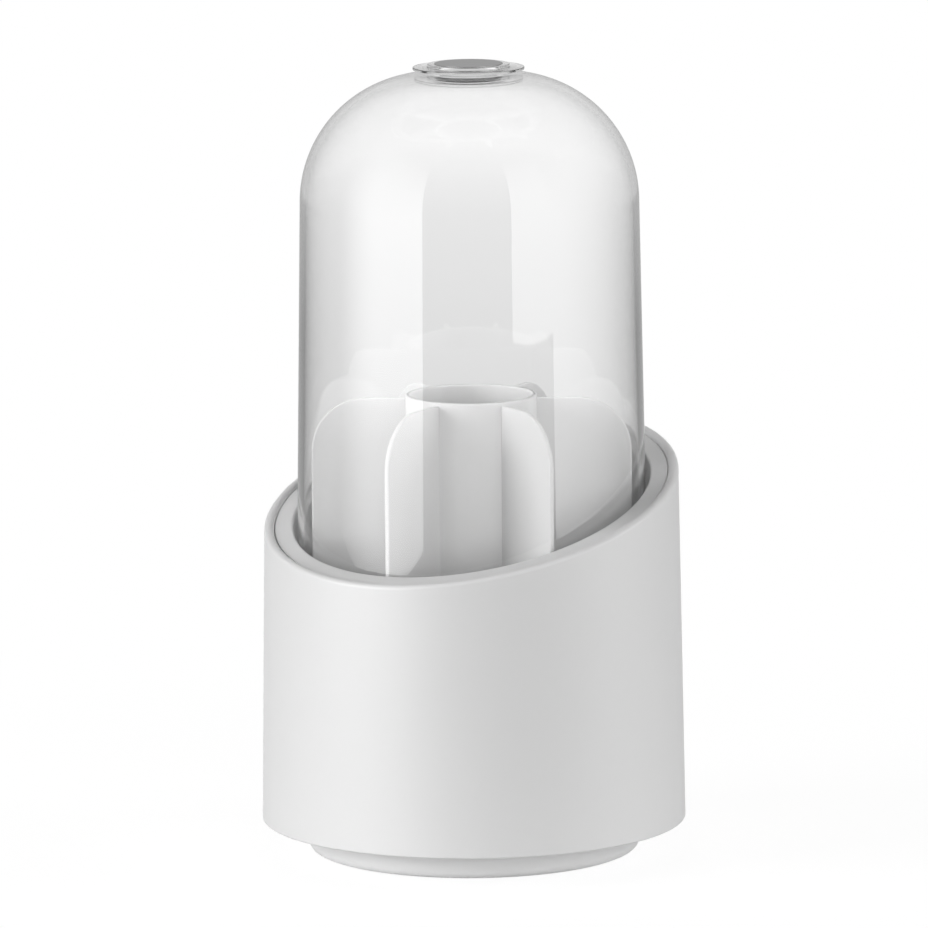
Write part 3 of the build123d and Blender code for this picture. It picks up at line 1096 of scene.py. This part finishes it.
@dataclass
class Studio:
    """White table, white surroundings, soft lamps and the camera.

    Attributes:
        azimuth: direction of the camera, in degrees to the right of -Y.
        distance: level distance of the camera from the axis.
        height: height of the camera.
        pitch: angle by which the camera looks down, in degrees.
        roll: angle by which it leans, in degrees.
        aside: how far it stands to the right of the line to the axis.
        lens: focal length of the camera in millimetres.
        floor_size: length of the table's sides.
        ambient: light that comes from all sides.
        mirror_glow: brightness of the table and the horizon in reflections.
        mirror_rise: sine of the elevation above which reflections meet white.
        inner_glow: brightness of the table, for light turned back inside a clear wall.
        inner_horizon: brightness of the horizon for such light.
        inner_reach: distances at which the table starts to brighten for it, and equals the horizon.
        inner_rise: sine of the elevation above which it meets white.
        near_glow: brightness of the table through clear plastic, close to the object.
        near_reach: distances at which that brightness starts to rise, and reaches white.
        shadow_share: share of the table's brightness near the object that comes from the lamps.
        shadow_reach: distances from the axis at which that share starts to fade, and is gone.
        open_light: light of the lamps on the open table, where 1 is white.
        near_albedo: share of light that the table throws back close to the object.
        far_albedo: share of light that it throws back farther off.
        lamps: the lamps that light the object and the panels that it reflects.
    """

    azimuth: float = 31.0
    distance: float = 2.430
    height: float = 0.517
    pitch: float = 9.40
    roll: float = 0.45
    aside: float = -0.0022
    lens: float = 325.3
    floor_size: float = 30.0
    ambient: float = 0.06
    mirror_glow: float = 0.6
    mirror_rise: float = 1.0
    inner_glow: float = 0.18
    inner_horizon: float = 0.6
    inner_reach: tuple[float, float] = (1.1, 2.0)
    inner_rise: float = 0.6
    near_glow: float = 0.74
    near_reach: tuple[float, float] = (0.5, 2.0)
    shadow_share: float = 0.12
    shadow_reach: tuple[float, float] = (0.0875, 0.35)
    open_light: float = 0.6
    near_albedo: float = 0.78
    far_albedo: float = 0.3
    lamps: tuple[Lamp | Card, ...] = (
        Lamp("left_lamp", bearing=-70, level=0.8),
        Lamp("front_lamp", bearing=15, level=0.42, height=0.3),
        Lamp("right_lamp", bearing=88, level=0.42),
        Lamp("back_lamp", bearing=180, level=0.3),
        Card("left_card", inner=-31, outer=-97, radiance=3.3, side_fade_share=0.55),
        Card("right_card_upper", inner=27, outer=55, radiance=2.3, side_fade_share=0.02, low=0.09),
        Card("right_card_outer", inner=55, outer=118, radiance=2.3, side_fade_share=1.0),
    )

    def seen_by(self, tree: Tree) -> tuple[bpy.types.Node, Socket]:
        """Tell rays that see the surroundings from rays that only light things.

        Args:
            tree: node tree of the table or the world.

        Returns:
            The node that knows the ray's path, and whether the ray comes from the camera, a reflection
            or a look through clear plastic.
        """
        path = add_node(tree, "ShaderNodeLightPath")
        seen = path.outputs["Is Camera Ray"]
        for ray in ("Is Glossy Ray", "Is Transmission Ray"):
            seen = add_node(
                tree, "ShaderNodeMath", {"operation": "MAXIMUM"}, {0: seen, 1: path.outputs[ray]}
            ).outputs[0]
        return path, seen

    def strength(
        self,
        tree: Tree,
        path: bpy.types.Node,
        through: Socket | float,
        mirrored: Socket | float,
        inner: Socket | float,
    ) -> Socket:
        """Choose the brightness that a ray meets, which is white for the camera.

        Light that was turned back inside a clear wall meets a dimmer room, and that draws the edges of
        clear pieces.

        Args:
            tree: node tree of the table or the world.
            path: node that knows the ray's path.
            through: brightness through clear plastic.
            mirrored: brightness in a reflection.
            inner: brightness for light that was turned back inside a clear wall.

        Returns:
            The brightness.
        """
        turned_back = add_node(
            tree,
            "ShaderNodeMath",
            {"operation": "GREATER_THAN"},
            {0: path.outputs["Glossy Depth"], 1: ANY_REFLECTION},
        )
        cleared = add_node(
            tree, "ShaderNodeMix", inputs={"Factor": turned_back.outputs[0], "A": through, "B": inner}
        )
        shown = add_node(
            tree,
            "ShaderNodeMix",
            inputs={"Factor": path.outputs["Is Reflection Ray"], "A": 1.0, "B": mirrored},
        )
        chosen = add_node(
            tree,
            "ShaderNodeMix",
            inputs={
                "Factor": path.outputs["Is Transmission Ray"],
                "A": shown.outputs["Result"],
                "B": cleared.outputs["Result"],
            },
        )
        return chosen.outputs["Result"]

    def surroundings(self) -> None:
        """Set a world that looks white, lights the object softly and is brighter above in reflections."""
        world = bpy.data.worlds.new("white_room")
        world.use_nodes = True
        tree = world.node_tree
        tree.nodes.clear()
        path, seen = self.seen_by(tree)
        direction = add_node(tree, "ShaderNodeTexCoord").outputs["Generated"]
        rise = add_node(tree, "ShaderNodeSeparateXYZ", inputs={0: direction}).outputs["Z"]
        mirrored = add_node(
            tree,
            "ShaderNodeMapRange",
            inputs={"Value": rise, "From Max": self.mirror_rise, "To Min": self.mirror_glow},
        )
        inner = add_node(
            tree,
            "ShaderNodeMapRange",
            inputs={"Value": rise, "From Max": self.inner_rise, "To Min": self.inner_horizon},
        )
        shown = self.strength(tree, path, 1.0, mirrored.outputs["Result"], inner.outputs["Result"])
        strength = add_node(tree, "ShaderNodeMix", inputs={"Factor": seen, "A": self.ambient, "B": shown})
        background = add_node(
            tree,
            "ShaderNodeBackground",
            inputs={"Color": linear("#FFFFFF"), "Strength": strength.outputs["Result"]},
        )
        add_node(tree, "ShaderNodeOutputWorld", inputs={"Surface": background.outputs["Background"]})
        bpy.context.scene.world = world

    def table_material(self) -> bpy.types.Material:
        """Make a white table top that is open from below.

        Where a ray sees it, it glows white, and near the object a share of that comes from the lamps, so
        that the object's soft shadow shows. It is dimmer in reflections and, close to the object, through
        clear plastic. What was turned back inside a clear wall is dimmest, and that draws the edges of
        clear pieces.

        Returns:
            The material.
        """
        material = bpy.data.materials.new("white_table")
        material.use_nodes = True
        tree = material.node_tree
        tree.nodes.clear()
        path, seen = self.seen_by(tree)
        place = add_node(tree, "ShaderNodeTexCoord").outputs["Object"]
        away = add_node(tree, "ShaderNodeVectorMath", {"operation": "LENGTH"}, {0: place}).outputs["Value"]
        shaded = add_node(
            tree,
            "ShaderNodeMapRange",
            {"interpolation_type": "SMOOTHSTEP"},
            {
                "Value": away,
                "From Min": self.shadow_reach[0],
                "From Max": self.shadow_reach[1],
                "To Min": self.shadow_share,
                "To Max": 0.0,
            },
        ).outputs["Result"]
        near = add_node(
            tree,
            "ShaderNodeMapRange",
            inputs={
                "Value": away,
                "From Min": self.near_reach[0],
                "From Max": self.near_reach[1],
                "To Min": self.near_glow,
                "To Max": 1.0,
            },
        )
        inner = add_node(
            tree,
            "ShaderNodeMapRange",
            inputs={
                "Value": away,
                "From Min": self.inner_reach[0],
                "From Max": self.inner_reach[1],
                "To Min": self.inner_glow,
                "To Max": self.inner_horizon,
            },
        )
        shown = self.strength(
            tree, path, near.outputs["Result"], self.mirror_glow, inner.outputs["Result"]
        )
        unlit = add_node(
            tree,
            "ShaderNodeMapRange",
            inputs={"Value": shaded, "To Min": 1.0, "To Max": 1.0 - self.open_light},
        )
        strength = add_node(
            tree,
            "ShaderNodeMath",
            {"operation": "MULTIPLY"},
            {0: shown, 1: unlit.outputs["Result"]},
        )
        glow = add_node(tree, "ShaderNodeEmission", inputs={"Strength": strength.outputs[0]})
        lit = add_node(tree, "ShaderNodeBsdfDiffuse", inputs={"Color": shaded})
        white = add_node(
            tree, "ShaderNodeAddShader", inputs={0: glow.outputs["Emission"], 1: lit.outputs["BSDF"]}
        )
        paleness = add_node(
            tree,
            "ShaderNodeMapRange",
            inputs={
                "Value": shaded,
                "From Max": self.shadow_share,
                "To Min": self.far_albedo,
                "To Max": self.near_albedo,
            },
        )
        matt = add_node(tree, "ShaderNodeBsdfDiffuse", inputs={"Color": paleness.outputs["Result"]})
        surface = add_node(
            tree,
            "ShaderNodeMixShader",
            inputs={0: seen, 1: matt.outputs["BSDF"], 2: white.outputs["Shader"]},
        )
        side = add_node(tree, "ShaderNodeNewGeometry")
        clear = add_node(tree, "ShaderNodeBsdfTransparent")
        open_below = add_node(
            tree,
            "ShaderNodeMixShader",
            inputs={0: side.outputs["Backfacing"], 1: surface.outputs["Shader"], 2: clear.outputs["BSDF"]},
        )
        add_node(tree, "ShaderNodeOutputMaterial", inputs={"Surface": open_below.outputs["Shader"]})
        return material

    def floor(self) -> None:
        """Lay the table."""
        half = self.floor_size / 2
        mesh = bpy.data.meshes.new("table")
        corners = [(-half, -half, 0), (half, -half, 0), (half, half, 0), (-half, half, 0)]
        mesh.from_pydata(corners, [], [(0, 1, 2, 3)])
        mesh.materials.append(self.table_material())
        table = bpy.data.objects.new("table", mesh)
        bpy.context.scene.collection.objects.link(table)

    def camera(self) -> None:
        """Stand the camera where the photograph was taken from, with its long lens and slight roll."""
        turn = math.radians(self.azimuth)
        data = bpy.data.cameras.new("camera")
        data.lens = self.lens
        view = bpy.data.objects.new("camera", data)
        right = Vector((math.cos(turn), math.sin(turn), 0))
        outwards = bearing_vector(self.azimuth, 0)
        view.location = outwards * self.distance + right * self.aside + Vector((0, 0, self.height))
        upright = Euler((math.radians(90 - self.pitch), 0, turn)).to_matrix()
        view.rotation_euler = (upright @ Matrix.Rotation(math.radians(-self.roll), 3, "Z")).to_euler()
        bpy.context.scene.collection.objects.link(view)
        bpy.context.scene.camera = view

    def build(self) -> None:
        """Set the room, the lamps and the camera."""
        bpy.context.scene.view_settings.view_transform = "Standard"
        self.surroundings()
        self.floor()
        for lamp in self.lamps:
            lamp.place(self.azimuth)
        self.camera()


def main() -> None:
    """Build the sub-assemblies from the table up, then the studio."""
    logging.basicConfig(level=logging.INFO, format="%(name)s: %(message)s")
    for assembly in (Foot(), BallRing(), Pot(), Divider(), Cover(), Studio()):
        assembly.build()


if __name__ == "__main__":
    main()
